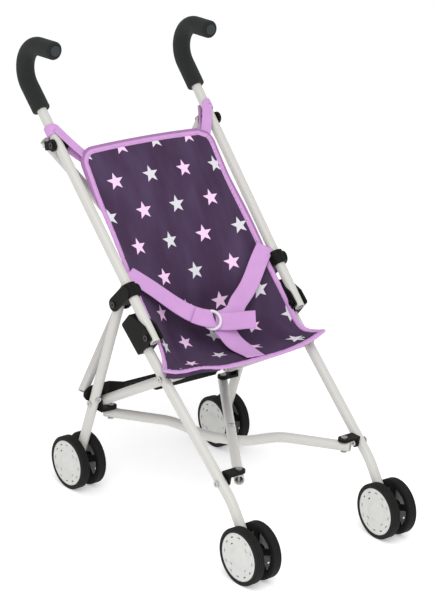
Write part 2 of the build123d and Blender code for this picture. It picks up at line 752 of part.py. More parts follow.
def build():
    """All pieces, about the point on the floor between the front wheels."""
    block_hole = cross_hole(BLOCK_RIGHT, LATERAL, RIVET_D, SEATED)
    lock_hole = cross_hole(on_right(LOCK_PIVOT), behind(REAR), RIVET_D, SEATED)
    bracket_hole = cross_hole(on_right(FRONT_RIVET), LATERAL, RIVET_D, SEATED)
    add_pair("handle_tube", SIDE * handle_tube() - block_hole)
    add_pair("foam_grip", SIDE * foam_grip())
    add_pair("grip_end_plug", SIDE * grip_end_plug())
    add_pair("pivot_bracket", SIDE * pivot_bracket())
    add_pair("handle_rivets", SIDE * handle_rivets(), block_rivet())
    add_pair("rear_leg", SIDE * rear_leg() - lock_hole)
    add_pair("rear_leg_rivets", SIDE * rear_leg_rivet(), lock_rivet())
    add_pair("front_leg", SIDE * front_leg() - bracket_hole)
    add_pair("hinge_channel", SIDE * hinge_channel())
    add_pair("front_leg_rivets", *placed(front_leg_rivets()), bracket_rivet())
    add_pair("side_rail", SIDE * side_rail() + rail_rivet())
    add_pair("brace_block", brace_block())
    add_pair("front_bracket", floor_bracket(FRONT_RIVET, 0))
    add_pair("rear_bracket", floor_bracket(REAR_RIVET, REAR_DROP))

    back_hole = cross_hole(crossing(flip(BRACE_HEAD), BRACE_FOOT), behind(BRACE), RIVET_D, SEATED)
    floor_hole = cross_hole(crossing(flip(FRONT_LUG), REAR_LUG), Vector(0, 0, 1), RIVET_D, SEATED)
    add("back_brace_left", back_brace(flip(BRACE_HEAD), BRACE_FOOT, 0) - back_hole)
    add("back_brace_right", back_brace(BRACE_HEAD, flip(BRACE_FOOT), BRACE_BOW))
    add("back_brace_rivets_left", brace_rivet(flip(BRACE_HEAD)), back_bolt())
    add("back_brace_rivets_right", brace_rivet(BRACE_HEAD))
    add("floor_brace_left", floor_brace(flip(FRONT_LUG), REAR_LUG, 0) - floor_hole)
    add("floor_brace_right", floor_brace(FRONT_LUG, flip(REAR_LUG), BRACE_BOW))
    add("floor_rivets_left", lug_rivet(flip(FRONT_LUG)), lug_rivet(REAR_LUG), floor_bolt())
    add("floor_rivets_right", lug_rivet(FRONT_LUG), lug_rivet(flip(REAR_LUG)))
    add("lock_bar_right", lock_bar(1) + lock_pin())
    add("lock_bar_left", mirror(lock_bar(0), Plane.YZ))

    for end, hub in (("front", FRONT_HUB), ("rear", REAR_HUB)):
        add_pair(end + "_axle", SIDE * axle(hub))
        add_pair(end + "_tyres", *placed(twin(tyre(), hub)))
        add_pair(end + "_rims", *placed(twin(rim(), hub)))
        add_pair(end + "_wheel_caps", *placed(twin(wheel_cap(), hub)))

    add("seat", seat())
    loop = seat_loop()
    add("seat_loops", loop, mirror(loop, Plane.YZ))
    add("lap_belt_left", lap_belt(-1))
    add("lap_belt_right", lap_belt(1), belt_tail())
    add("crotch_strap", crotch_strap())
    add("buckle_ring", buckle_ring())


build()
box = Compound([solid for part in PARTS.values() for solid in part.solids()]).bounding_box()
CENTRE = Pos(0, -box.center().Y, -box.min.Z)
os.makedirs("parts", exist_ok=True)
for node, part in PARTS.items():
    export_step(CENTRE * part, "parts/" + node + ".step")
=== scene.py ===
import bpy
import numpy as np
from bpy.props import FloatProperty, FloatVectorProperty, IntProperty, PointerProperty
from mathutils import Matrix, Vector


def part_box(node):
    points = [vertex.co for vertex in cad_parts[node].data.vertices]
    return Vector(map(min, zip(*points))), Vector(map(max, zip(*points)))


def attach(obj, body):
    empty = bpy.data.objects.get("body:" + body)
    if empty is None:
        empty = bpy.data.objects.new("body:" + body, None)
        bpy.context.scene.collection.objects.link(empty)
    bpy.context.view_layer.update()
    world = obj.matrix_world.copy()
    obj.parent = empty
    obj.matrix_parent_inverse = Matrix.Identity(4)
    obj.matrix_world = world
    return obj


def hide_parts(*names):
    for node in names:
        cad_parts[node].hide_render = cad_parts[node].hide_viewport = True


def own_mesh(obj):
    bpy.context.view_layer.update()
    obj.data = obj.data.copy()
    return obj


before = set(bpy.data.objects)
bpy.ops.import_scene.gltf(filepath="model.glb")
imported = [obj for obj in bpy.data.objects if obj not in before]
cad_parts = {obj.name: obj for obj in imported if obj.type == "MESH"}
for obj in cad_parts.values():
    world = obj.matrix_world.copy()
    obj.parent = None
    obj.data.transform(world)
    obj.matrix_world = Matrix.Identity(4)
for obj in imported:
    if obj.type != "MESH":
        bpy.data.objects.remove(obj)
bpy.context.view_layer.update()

bl_info = {
    "name": "Doll stroller",
    "version": (1, 0, 0),
    "blender": (4, 5, 0),
    "location": "View3D > Sidebar > Stroller",
    "description": "Dresses the packed doll stroller with its sling seat, webbing, finishes and stage",
    "category": "Object",
}

# The drawing frame: millimetres, with y = 0 at the front axle and z = 0 on the floor
MM = 0.001
AXLE_HEIGHT = 34.3
AXLE = np.mean([np.array(corner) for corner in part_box("front_axle_right")], axis=0)
ORIGIN = np.array([0.0, AXLE[1], AXLE[2] - AXLE_HEIGHT * MM])

# Sling from the top to the front: half width, distance back and height of its edge
SEAT_EDGE = np.array([
    (97.0, 354.0, 425.0), (98.0, 323.5, 383.5), (99.6, 285.0, 343.0),
    (101.5, 249.5, 303.5), (101.8, 216.0, 268.0), (102.3, 190.5, 242.0),
    (105.2, 171.0, 219.0), (115.0, 157.0, 212.5), (123.5, 144.0, 216.0),
])
# Distance back and height of its middle at the same places
SEAT_MIDDLE = np.array([
    (352.0, 428.5), (316.9, 384.8), (291.0, 337.8),
    (267.8, 295.0), (251.7, 258.3), (239.0, 222.6),
    (202.0, 201.4), (166.0, 202.5), (140.0, 201.5),
])

# Soft forms of the cloth: lengths in mm, places down it from 0 at the top to 1 at the front
CLOTH_BACK = 1.0  # sets the whole cloth back
CLOTH_THICK = 0.9
TOP_FALL = 400.0  # length of the cloth from 0 to 1, as the top corners measure it
PAN_FROM = 0.8  # where the pan's rows start to flatten towards the front
ROW_POWER, PAN_POWER = 2.0, 1.6  # power of a row's curve, and what the pan adds to it
FOLD_LEAN = 8.0  # leans the folds backwards
LONG_FOLD, SHORT_FOLD, CREASE_FOLD = 17.0, 9.3, 12.0  # width of a fold for each radian
CREASE_AT, CREASE_SPREAD = 0.70, 0.06  # where the backrest turns into the pan
RIPPLE_AT, RIPPLE_SPREAD = -72.0, 26.0  # across the front edge
THREAD_PITCH = 0.55

# Front hem: its least share, where across the cloth it deepens, over what width, and how far it sets back, mm
HEM_LEAST, HEM_FROM, HEM_SPREAD, HEM_BACK = 0.12, -0.28, 0.55, 3.0
HEM_STEPS = 6

# Trim round the edge: steps along each side, where its inward direction is read, and the pucker's waves
RIM_STEPS = 110
RIM_ACROSS, RIM_DOWN = 0.93, 0.02
PUCKER = ((0.10, 2.3), (0.06, 5.1))  # share of the thickness, and mm for each radian

# Rolled hem: steps that it runs down each side, steps of its taper, sides; its place and weave width, mm
ROLL_DOWN, ROLL_TAPER, ROLL_SIDES = 36, 20.0, 16
ROLL_OUT, ROLL_BEHIND, ROLL_WEAVE = 2.3, 0.5, 60.0

# Stitches, mm, and the grid of one stitch
STITCH_PITCH, STITCH_HALF, STITCH_RADIUS = 3.2, 1.15, 0.32
STITCH_INSET, STITCH_RISE, STITCH_END = 1.6, 1.62, 2.0
STITCH_ROWS, STITCH_SIDES = 5, 6

# Webbing: the way it faces, its section, and the pitch of its ribs and warp, mm
STRAP_FACING = np.array([0.0, -0.849, 0.529])
STRAP_SIDES, STRAP_POWER = 28, 5
RIB_PITCH, WARP_PITCH = 1.1, 0.7

# Loops: the handle tube they hang on, their root from the seat's corner, their room, spread and slack, mm
TUBE_RADIUS = 6.25
TUBE_WAY = np.array([0.0225, 0.7006, 0.7132])
LOOP_AT = np.array([117.4, 386.9, 447.8])
LOOP_ROOT = np.array([-6.0, 1.0, -6.0])
LOOP_ROOM, LOOP_SPREAD, LOOP_SLACK = 1.3, 3.5, 2.0
LOOP_STEPS, TAIL_STEPS = 40, 24

# Belts: piece, the drawn pieces it stands for, the property with its width, steps, facing at its root, path
BELTS = (
    ("lap_belt_left_webbing", ("lap_belt_left",), "strap", 70, (0.35, -0.75, 0.55), (
        (-103.0, 249.0, 303.5), (-101.5, 242.0, 301.5), (-76.0, 231.5, 281.5),
        (-51.5, 222.8, 261.0), (-30.0, 212.6, 246.2), (-9.0, 204.6, 238.0),
    )),
    ("lap_belt_fold", ("lap_belt_left",), "strap", 40, STRAP_FACING, (
        (-31.5, 210.6, 246.8), (-26.4, 205.9, 244.6), (-21.6, 202.2, 243.2),
        (-15.2, 200.6, 241.3), (-9.2, 200.8, 239.3), (-6.8, 202.4, 238.2),
    )),
    ("lap_belt_right_webbing", ("lap_belt_right",), "strap", 70, (-0.50, -0.72, 0.42), (
        (102.0, 240.0, 301.8), (85.0, 233.0, 284.5), (64.0, 224.5, 260.5), (38.0, 211.0, 249.0),
        (28.0, 206.0, 241.0), (13.1, 204.2, 235.4), (-1.0, 206.0, 234.6),
    )),
    ("lap_belt_tail", ("lap_belt_right",), "strap", 40, STRAP_FACING, (
        (-3.1, 202.6, 235.0), (7.1, 199.6, 233.3), (17.0, 193.5, 233.5),
        (27.5, 184.5, 235.5), (37.5, 176.0, 237.0),
    )),
    ("crotch_strap_webbing", ("crotch_strap",), "crotch", 60, STRAP_FACING, (
        (2.0, 203.5, 229.5), (8.5, 197.0, 221.0), (12.0, 185.0, 210.5),
        (13.7, 165.0, 205.6), (13.2, 144.5, 204.2),
    )),
)
RING_AT = np.array([-10.0, 201.0, 238.0])
RING_FACING = np.array([-0.12, -0.86, 0.49])
RING_STEPS, WIRE_STEPS = 96, 24

# Rivets above this height are the knee's, mm
KNEE_HEIGHT = 220.0

# What the soft pieces ride on
SOFT_BODY = "side_frame_left"

# Stage: half the floor, places of the lights and what they aim at, mm; size of the lights, m; film width, mm
FLOOR_HALF = 9000.0
KEY_AT, KEY_SIZE = (-900.0, -900.0, 1700.0), 1.6
FILL_AT, FILL_SIZE = (1500.0, -700.0, 1200.0), 1.8
LIGHT_AIM = (0.0, 210.0, 260.0)
FILM = 36.0


def colour(name, text, value):
    """Colour in linear RGB."""
    return FloatVectorProperty(
        name=name, description=text, subtype="COLOR", size=3, min=0.0, max=1.0, default=value
    )


def amount(name, text, value, unit="NONE"):
    """Number that is zero or more."""
    return FloatProperty(name=name, description=text, default=value, min=0.0, unit=unit)


def length(name, text, value):
    """Length in millimetres, which the sidebar shows by the camera's unit."""
    return amount(name, text, value, "CAMERA")


def angle(name, text, degrees):
    """Angle, kept in radians."""
    return FloatProperty(name=name, description=text, subtype="ANGLE", default=float(np.radians(degrees)))


class StrollerCloth(bpy.types.PropertyGroup):
    """Sizes and colours of the seat and its webbing."""

    seat: colour("Seat", "Ground colour of the seat cloth", (0.050, 0.023, 0.062))
    # Shine is painted sheen: a lighter, bluer colour laid along soft streaks, standing in for light caught on
    # the cloth's folds
    shine: colour("Shine", "Ground colour along the cloth's soft streaks", (0.088, 0.055, 0.122))
    # The rolled hem's darker colour is painted shade, standing in for the top binding's upper strip that
    # turns away from the light
    roll: colour("Rolled hem", "Rolled hem behind the top binding", (0.36, 0.17, 0.38))
    pink: colour("Pink stars", "Colour of every other star", (0.90, 0.60, 0.87))
    white: colour("White stars", "Colour of the remaining stars", (0.66, 0.665, 0.70))
    webbing: colour("Webbing", "Binding, loops and belts", (0.62, 0.335, 0.66))
    thread: colour("Thread", "Stitching along the binding", (0.62, 0.36, 0.66))
    star_radius: length("Star radius", "Centre to tip, mm", 11.6)
    star_inner: FloatProperty(
        name="Star waist", description="Inner to outer radius", subtype="FACTOR",
        default=0.42, min=0.2, max=0.9,
    )
    star_pitch: length("Star pitch", "Distance between stars of a row, mm", 51.3)
    star_rows: length("Row pitch", "Distance between rows of stars, mm", 42.8)
    star_across: length("Star shift", "Where a star column lies, mm", 35.8)
    star_down: length("Row shift", "Where the first row lies, mm", 46.4)
    corner: length("Top corner", "Rounding of the backrest's corners, mm", 17.0)
    front_corner: length("Front corner", "Rounding of the front corners, mm", 4.0)
    hem: length("Hem", "Cloth turned down below the front edge, mm", 9.0)
    binding: length("Binding", "Width of the binding on each face, mm", 5.0)
    roll_radius: length("Roll", "Radius of the rolled hem, mm", 2.4)
    folds: length("Folds", "Depth of the soft folds, mm", 2.6)
    ripple: length("Ripple", "Lift of the front edge on the left, mm", 6.0)
    strap: length("Strap", "Width of the belts, mm", 22.5)
    crotch: length("Crotch strap", "Width of the strap between the legs, mm", 27.0)
    strap_thick: length("Strap thickness", "Thickness of the belts, mm", 1.5)
    loop: length("Loop", "Width of the seat's hanging loops, mm", 13.0)
    columns: IntProperty(name="Columns", description="Steps across the cloth", default=81, min=9)
    rows: IntProperty(name="Rows", description="Steps down the cloth", default=150, min=8)


class StrollerFinish(bpy.types.PropertyGroup):
    """Colours of the frame and the wheels."""

    tube: colour("Tube", "Powder-coated tube", (0.57, 0.56, 0.53))
    plastic: colour("Plastic", "Moulded brackets", (0.008, 0.008, 0.007))
    foam: colour("Foam", "Handle grips", (0.015, 0.017, 0.016))
    plug: colour("Plug", "Ends of the handle tubes", (0.040, 0.047, 0.050))
    steel: colour("Steel", "Rivets and axles", (0.56, 0.56, 0.55))
    tyre: colour("Tyre", "Soft tyres", (0.010, 0.0105, 0.010))
    rim: colour("Rim", "Wheel rims", (0.010, 0.010, 0.010))
    cap: colour("Cap", "Wheel caps", (0.64, 0.64, 0.615))
    ring: colour("Ring", "Belt ring", (0.74, 0.72, 0.75))
    ring_radius: length("Ring radius", "Middle of the ring's wire, mm", 11.2)
    ring_wire: length("Ring wire", "Radius of the ring's wire, mm", 1.9)


class StrollerStage(bpy.types.PropertyGroup):
    """Camera, floor and light."""

    lens: length("Lens", "Focal length, mm", 125.03)
    azimuth: angle("Azimuth", "Camera turned round the object", -38.32)
    elevation: angle("Elevation", "Camera above the horizon", 19.26)
    roll: angle("Roll", "Camera turned about its view", 1.35)
    position: FloatVectorProperty(
        name="Camera", description="Camera place in the drawing frame, mm", subtype="XYZ", size=3,
        default=(-1475.3, -1661.4, 1092.0),
    )
    floor: colour("Floor", "Pale floor", (0.90, 0.90, 0.90))
    glow: amount("Floor glow", "Light given off by the floor", 0.36)
    key: amount("Key light", "Power of the large light", 22.0, "POWER")
    fill: amount("Fill light", "Power of the fill light", 4.0, "POWER")
    sky: amount("Sky", "Strength of the even light", 0.72)


# Shapes
def unit(v):
    """Vectors of one length, along the last axis."""
    v = np.asarray(v, float)
    return v / np.linalg.norm(v, axis=-1, keepdims=True)


def spline(rows, t):
    """Natural cubic through evenly numbered rows: the second slopes m solve m0 + 4 m1 + m2 = 6 d2y."""
    rows = np.asarray(rows, float)
    n = len(rows)
    matrix = np.eye(n)
    middle = np.arange(1, n - 1)
    matrix[middle, middle] = 4
    matrix[middle, middle - 1] = 1
    matrix[middle, middle + 1] = 1
    right = np.zeros_like(rows)
    right[1:-1] = 6 * (rows[2:] - 2 * rows[1:-1] + rows[:-2])
    slopes = np.linalg.solve(matrix, right)
    x = np.asarray(t, float) * (n - 1)
    i = np.clip(np.floor(x).astype(int), 0, n - 2)
    f = (x - i)[..., None]
    g = 1 - f
    return g * rows[i] + f * rows[i + 1] + ((g**3 - g) * slopes[i] + (f**3 - f) * slopes[i + 1]) / 6


def bell(x, at, spread):
    """Bell curve exp(-((x - at) / spread)^2)."""
    return np.exp(-(((x - at) / spread) ** 2))


def circle(steps):
    """Angles of even steps round a circle."""
    return np.linspace(0, 2 * np.pi, steps, endpoint=False)


def sling(across, down, cloth):
    """Point of the seat cloth, mm: across runs from -1 to 1 between the edges and down from 0 at the top to 1
    at the front. A row is a power curve from edge to edge through the middle, flatter towards the front. Near
    the top and the front the half width is cut by r - sqrt(r^2 - (r - d)^2) to round the corners. Soft folds
    are sines that fade at the edges, and a bell-shaped ripple lifts the left of the front edge."""
    across, down = np.broadcast_arrays(np.asarray(across, float), np.asarray(down, float))
    edge = spline(SEAT_EDGE, down)
    middle = spline(SEAT_MIDDLE, down)
    fall = np.linalg.norm(SEAT_EDGE[-1] - SEAT_EDGE[-2]) * (len(SEAT_EDGE) - 1)
    cut = 0
    for radius, distance in ((cloth.corner, down * TOP_FALL), (cloth.front_corner, (1 - down) * fall)):
        inside = np.clip(radius - distance, 0, radius)
        cut = cut + radius - np.sqrt(np.maximum(radius**2 - inside**2, 0))
    half = edge[..., 0]
    x = across * (half - cut)
    pan = np.clip((down - PAN_FROM) / (1 - PAN_FROM), 0, 1)
    bow = 1 - np.abs(x / half) ** (ROW_POWER + PAN_POWER * pan)
    back, rise = middle[..., 0] - edge[..., 1], middle[..., 1] - edge[..., 2]
    y = edge[..., 1] + back * bow
    z = edge[..., 2] + rise * bow + cloth.ripple * pan**2 * bell(x, RIPPLE_AT, RIPPLE_SPREAD)
    lean = unit(np.stack([np.zeros_like(x), back + FOLD_LEAN, rise], -1))
    calm = np.sin(np.pi * np.clip(down, 0, 1)) ** 0.5 * (1 - across**2) ** 1.5
    wave = np.sin(x / LONG_FOLD + 1.2 * np.sin(down * 5.0))
    wave = wave + 0.6 * np.sin(x / SHORT_FOLD - down * 6.0 + 2.0)
    crease = 1.6 * bell(down, CREASE_AT, CREASE_SPREAD) * np.sin(x / CREASE_FOLD + 0.7)
    shift = cloth.folds * calm * (0.45 * wave + 0.5 * crease) + CLOTH_BACK
    return np.stack([x, y, z], -1) + lean * shift[..., None]


def put_mesh(name, points, faces, mark=None):
    """Mesh object from points in the drawing frame and their faces, with an optional cloth attribute."""
    mesh = bpy.data.meshes.new(name)
    mesh.from_pydata((ORIGIN + np.reshape(points, (-1, 3)) * MM).tolist(), [], faces)
    mesh.polygons.foreach_set("use_smooth", np.ones(len(mesh.polygons), bool))
    if mark is not None:
        attribute = mesh.attributes.new("cloth", "FLOAT_VECTOR", "POINT")
        attribute.data.foreach_set("vector", np.asarray(mark, np.float32).ravel())
    mesh.update()
    piece = bpy.data.objects.new(name, mesh)
    bpy.context.scene.collection.objects.link(piece)
    return piece


def grid_faces(rows, columns, wrap_rows=False, wrap_columns=False):
    """Quads of a grid of points numbered row by row, closed round where asked."""
    r = np.arange(rows if wrap_rows else rows - 1)[:, None]
    c = np.arange(columns if wrap_columns else columns - 1)[None, :]
    r2, c2 = (r + 1) % rows, (c + 1) % columns
    quads = np.stack([r * columns + c, r * columns + c2, r2 * columns + c2, r2 * columns + c], -1)
    return quads.reshape(-1, 4).tolist()


def capped_faces(rows, columns):
    """Faces of a closed section carried along a path, with one more on each end."""
    last = (rows - 1) * columns
    ends = [list(range(columns - 1, -1, -1)), list(range(last, last + columns))]
    return grid_faces(rows, columns, wrap_columns=True) + ends


def run_along(points, axis=0):
    """Length up to each point of a path, or of a grid along one of its axes."""
    steps = np.linalg.norm(np.diff(points, axis=axis), axis=-1)
    return np.insert(np.cumsum(steps, axis=axis), 0, 0.0, axis=axis)


def ways(path, closed=False):
    """Unit tangents of a path by central differences."""
    if closed:
        return unit(np.roll(path, -1, 0) - np.roll(path, 1, 0))
    return unit(np.gradient(path, axis=0))


def cloth_marks(across, along, width):
    """Cloth attribute of a carried section: place across it, length along its path and whole width, mm."""
    return np.stack(np.broadcast_arrays(across[None, :], along[:, None], width), -1)


def webbing_profile(width, thick):
    """Flat rounded section of a strap: a superellipse |a|^n + |b|^n = 1 scaled to its width and thickness."""
    turn = circle(STRAP_SIDES)
    c, s = np.cos(turn), np.sin(turn)
    radius = (np.abs(c) ** STRAP_POWER + np.abs(s) ** STRAP_POWER) ** (-1 / STRAP_POWER)
    return np.stack([radius * c * width / 2, radius * s * thick / 2], -1)


def strap(name, path, facing, width, thick):
    """Strap: the flat section carried along a path, its width square to the path and to the facing."""
    way = ways(path)
    side = unit(np.cross(facing, way))
    face = np.cross(way, side)
    section = webbing_profile(width, thick)
    points = path[:, None] + section[None, :, :1] * side[:, None] + section[None, :, 1:] * face[:, None]
    return put_mesh(
        name, points, capped_faces(*points.shape[:2]), cloth_marks(section[:, 0], run_along(path), width)
    )


def curve(points, steps):
    """Smooth path through a few points."""
    return spline(points, np.linspace(0, 1, steps))


def soft(piece, slot, *nodes):
    """Piece of cloth or webbing: it rides on the left side frame."""
    if nodes:
        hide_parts(*nodes)
    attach(piece, SOFT_BODY)
    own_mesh(piece)
    return piece


# Materials
class Value:
    """A node's output that takes part in arithmetic; each operation adds a Math node."""

    def __init__(self, finish, socket):
        self.finish = finish
        self.socket = socket

    def maths(self, operation, *others):
        sockets = dict(enumerate((self, *others)))
        return self.finish.out("ShaderNodeMath", {"operation": operation}, sockets)

    def __add__(self, other):
        return self.maths("ADD", other)

    def __sub__(self, other):
        return self.maths("SUBTRACT", other)

    def __mul__(self, other):
        return self.maths("MULTIPLY", other)

    def __truediv__(self, other):
        return self.maths("DIVIDE", other)

    def __rsub__(self, other):
        return (self * -1.0).maths("ADD", other)

    __radd__ = __add__
    __rmul__ = __mul__

    def clipped(self):
        """Kept between 0 and 1."""
        return self.maths("MAXIMUM", 0.0).maths("MINIMUM", 1.0)

    def waves(self, pitch):
        """Sine with a crest at every pitch."""
        return (self * (2 * np.pi / pitch)).maths("SINE")


class Finish:
    """A material made of nodes round one principled shader."""

    def __init__(self, name, **sockets):
        self.material = bpy.data.materials.new(name)
        self.material.use_nodes = True
        self.tree = self.material.node_tree
        self.shader = self.tree.nodes["Principled BSDF"]
        self.feed(self.shader, sockets)

    def feed(self, node, sockets):
        """Sets or links a node's sockets, named or numbered."""
        for key, value in sockets.items():
            socket = node.inputs[key.replace("_", " ")] if isinstance(key, str) else node.inputs[key]
            if isinstance(value, Value):
                self.tree.links.new(value.socket, socket)
            elif socket.type == "RGBA" and len(value) == 3:
                socket.default_value = (*value, 1.0)
            else:
                socket.default_value = value

    def node(self, kind, settings=None, sockets=None):
        """Any node: its settings are set first, then its sockets."""
        node = self.tree.nodes.new(kind)
        for key, value in (settings or {}).items():
            setattr(node, key, value)
        self.feed(node, sockets or {})
        return node

    def out(self, kind, settings=None, sockets=None, index=0):
        """One output of a new node."""
        return Value(self, self.node(kind, settings, sockets).outputs[index])

    def place(self):
        """Object coordinates."""
        return self.out("ShaderNodeTexCoord", index=3)

    def cloth(self):
        """The piece's own cloth attribute as across, down and width, mm."""
        vector = self.out("ShaderNodeAttribute", {"attribute_name": "cloth"}, index=1)
        parts = self.node("ShaderNodeSeparateXYZ", {}, {0: vector})
        return [Value(self, output) for output in parts.outputs]

    def noise(self, vector, scale, detail=3.0, rough=0.5):
        """Noise from 0 to 1."""
        sockets = {"Vector": vector, "Scale": scale, "Detail": detail, "Roughness": rough}
        return self.out("ShaderNodeTexNoise", {}, sockets)

    def mix(self, factor, first, second):
        """Colour between two colours."""
        return self.out("ShaderNodeMix", {"data_type": "RGBA"}, {0: factor, 6: first, 7: second}, 2)

    def bump(self, height, strength, distance):
        """Surface relief, distance in metres."""
        sockets = {"Strength": strength, "Distance": distance, "Height": height}
        return self.out("ShaderNodeBump", {}, sockets)

    def shade(self, **sockets):
        """Feeds the shader and gives the material."""
        self.feed(self.shader, sockets)
        return self.material


def toned(tint, share):
    """A colour times a share."""
    return tuple(min(1.0, part * share) for part in tint)


def powder_coat(tint):
    """Satin powder coat: fine orange-peel relief and faint handling marks."""
    f = Finish("powder_coat", IOR=1.5, Coat_Roughness=0.25)
    place = f.place()
    peel = f.noise(place, 1400.0, 2.0)
    marks = f.noise(place, 55.0, 4.0)
    scuff = ((f.noise(place, 300.0, 5.0, 0.65) - 0.66) * 9.0).clipped() * 0.10
    base = f.mix(marks * 0.35, tint, toned(tint, 0.90))
    return f.shade(
        Base_Color=f.mix(scuff, base, toned(tint, 0.55)), Roughness=0.30 + marks * 0.12 + scuff,
        Normal=f.bump(peel, 0.10, 0.0002),
    )


def moulded(name, tint, rough, grain=2600.0, gloss=0.0, shine=0.10):
    """Moulded plastic: fine spark grain, cloudy gloss and pale rubbed spots."""
    f = Finish(name, IOR=1.47, Specular_IOR_Level=shine, Coat_Weight=gloss, Coat_Roughness=0.15)
    place = f.place()
    spark = f.noise(place, grain, 2.0)
    cloud = f.noise(place, 90.0, 3.0)
    rubbed = ((f.noise(place, 240.0, 4.0, 0.6) - 0.62) * 6.0).clipped() * 0.25
    base = f.mix(rubbed, f.mix(cloud * 0.5, tint, toned(tint, 0.8)), toned(tint, 1.5))
    return f.shade(
        Base_Color=base, Roughness=rough + cloud * 0.14 - rubbed * 0.2,
        Normal=f.bump(spark, 0.18, 0.00015),
    )


def foam_skin(tint):
    """Closed-cell foam: small pits in a matte skin with a dusty sheen."""
    f = Finish("foam_skin", IOR=1.4, Specular_IOR_Level=0.2, Sheen_Weight=0.05, Sheen_Roughness=0.6)
    place = f.place()
    cells = f.out("ShaderNodeTexVoronoi", {"feature": "F1"}, {"Vector": place, "Scale": 1500.0})
    soft_cloud = f.noise(place, 70.0, 4.0)
    pits = (cells * 1.6).clipped()
    base = f.mix(soft_cloud * 0.6, tint, toned(tint, 1.9))
    # Pit centres are darkened in the colour: painted shade in the hollows
    return f.shade(
        Base_Color=f.mix((1 - pits) * 0.5, base, toned(tint, 0.4)), Roughness=0.80 + soft_cloud * 0.15,
        Normal=f.bump(pits, 0.45, 0.0003),
    )


def rivet_steel(tint, black):
    """Zinc-plated steel: fine turned streaks and dull patches. The knee's rivets, higher up, are black."""
    f = Finish("rivet_steel")
    place = f.place()
    height = f.out("ShaderNodeSeparateXYZ", {}, {0: place}, 2)
    knee = ((height - KNEE_HEIGHT * MM) * 500.0).clipped()
    plain = 1 - knee
    grain = f.noise(place, 900.0, 5.0, 0.7)
    dull = f.noise(place, 130.0, 3.0)
    return f.shade(
        Base_Color=f.mix(knee, f.mix(dull * 0.5, tint, toned(tint, 0.6)), black), Metallic=plain,
        Roughness=0.26 + grain * 0.2, Normal=f.bump(grain, 0.08, 0.0001),
    )


def tyre_rubber(tint):
    """Soft tyre: fine moulding grain and a little pale dust."""
    f = Finish("tyre_rubber", IOR=1.5, Specular_IOR_Level=0.14)
    place = f.place()
    grain = f.noise(place, 2000.0, 3.0)
    dust = ((f.noise(place, 120.0, 5.0, 0.6) - 0.48) * 3.0).clipped()
    return f.shade(
        Base_Color=f.mix(dust * 0.3, tint, toned(tint, 3.0)), Roughness=0.62 + dust * 0.2,
        Normal=f.bump(grain, 0.2, 0.0002),
    )


def star_cloth(cloth):
    """Woven cloth printed with five-pointed stars. Every other row is shifted by half a pitch. In a star's
    own polar frame the angle is folded to one half point, where its edge is the straight line from its tip to
    its waist."""
    f = Finish("star_cloth", IOR=1.45, Specular_IOR_Level=0.2, Sheen_Weight=0.03, Sheen_Roughness=0.5)
    across, down, _ = f.cloth()
    row = ((down - cloth.star_down) / cloth.star_rows + 0.5).maths("FLOOR")
    y = down - cloth.star_down - row * cloth.star_rows
    odd = row.maths("FLOORED_MODULO", 2.0)
    slid = (across - cloth.star_across) / cloth.star_pitch + odd * 0.5 + 0.5
    column = slid.maths("FLOOR")
    x = (slid - column - 0.5) * cloth.star_pitch
    angle = x.maths("ARCTAN2", y * -1.0)
    fifth = 2 * np.pi / 5
    folded = ((angle + fifth / 2).maths("FLOORED_MODULO", fifth) - fifth / 2).maths("ABSOLUTE")
    radius = (x * x + y * y).maths("SQRT")
    px = radius * folded.maths("COSINE")
    py = radius * folded.maths("SINE")
    tip = cloth.star_radius
    bx = tip * cloth.star_inner * np.cos(fifth / 2)
    by = tip * cloth.star_inner * np.sin(fifth / 2)
    span = float(np.hypot(bx - tip, by))
    inside = py * ((bx - tip) / span) - (px - tip) * (by / span)
    star = (inside * 4.0 + 0.5).clipped()
    white = (column + row).maths("FLOORED_MODULO", 2.0)
    weave = across.waves(THREAD_PITCH) * down.waves(THREAD_PITCH) * 0.5 + 0.5
    place = f.place()
    cloudy = f.noise(place, 45.0, 4.0)
    slub = f.noise(place, 800.0, 3.0)
    # Painted sheen: soft streaks drawn long down the cloth take the lighter shine colour, standing in for
    # light on its folds
    drawn = f.out("ShaderNodeCombineXYZ", {}, {0: across * 0.030, 1: down * 0.009})
    painted_sheen_streak = ((f.noise(drawn, 1.0, 3.0) - 0.38) * 3.2).clipped()
    ground = f.mix(painted_sheen_streak * 0.75, cloth.seat, cloth.shine)
    ground = f.mix(weave * 0.25 + cloudy * 0.15, ground, toned(cloth.seat, 0.55))
    ink = f.mix(white, cloth.pink, cloth.white)
    ink = f.mix(weave * 0.12 + slub * 0.1, ink, toned(cloth.pink, 0.7))
    return f.shade(
        Base_Color=f.mix(star, ground, ink), Roughness=0.58 + cloudy * 0.15 - star * 0.05,
        Normal=f.bump(weave * 0.6 + slub * 0.4 + star * 0.5, 0.25, 0.0002),
    )


def webbing_weave(name, tint):
    """Ribbed webbing: fine ribs across, a fainter warp along and colour darker towards both edges."""
    f = Finish(name, IOR=1.45, Specular_IOR_Level=0.25, Sheen_Weight=0.08, Sheen_Roughness=0.45)
    across, down, width = f.cloth()
    ribs = down.waves(RIB_PITCH) * 0.5 + 0.5
    warp = across.waves(WARP_PITCH) * 0.5 + 0.5
    edge = ((across.maths("ABSOLUTE") / width - 0.43) * 30.0).clipped()
    place = f.place()
    cloudy = f.noise(place, 60.0, 4.0)
    base = f.mix(cloudy * 0.6, tint, toned(tint, 0.82))
    base = f.mix(ribs * 0.16 + edge * 0.18, base, toned(tint, 0.62))
    return f.shade(
        Base_Color=base, Roughness=0.62 + cloudy * 0.15,
        Normal=f.bump(ribs * 0.7 + warp * 0.3, 0.35, 0.00025),
    )


def sewing_thread(tint):
    """Twisted thread: a fine slanting lay."""
    f = Finish("sewing_thread", Sheen_Weight=0.2)
    twist = f.noise(f.place(), 2500.0, 2.0)
    return f.shade(
        Base_Color=f.mix(twist, tint, toned(tint, 0.7)), Roughness=0.6, Normal=f.bump(twist, 0.3, 0.0001)
    )


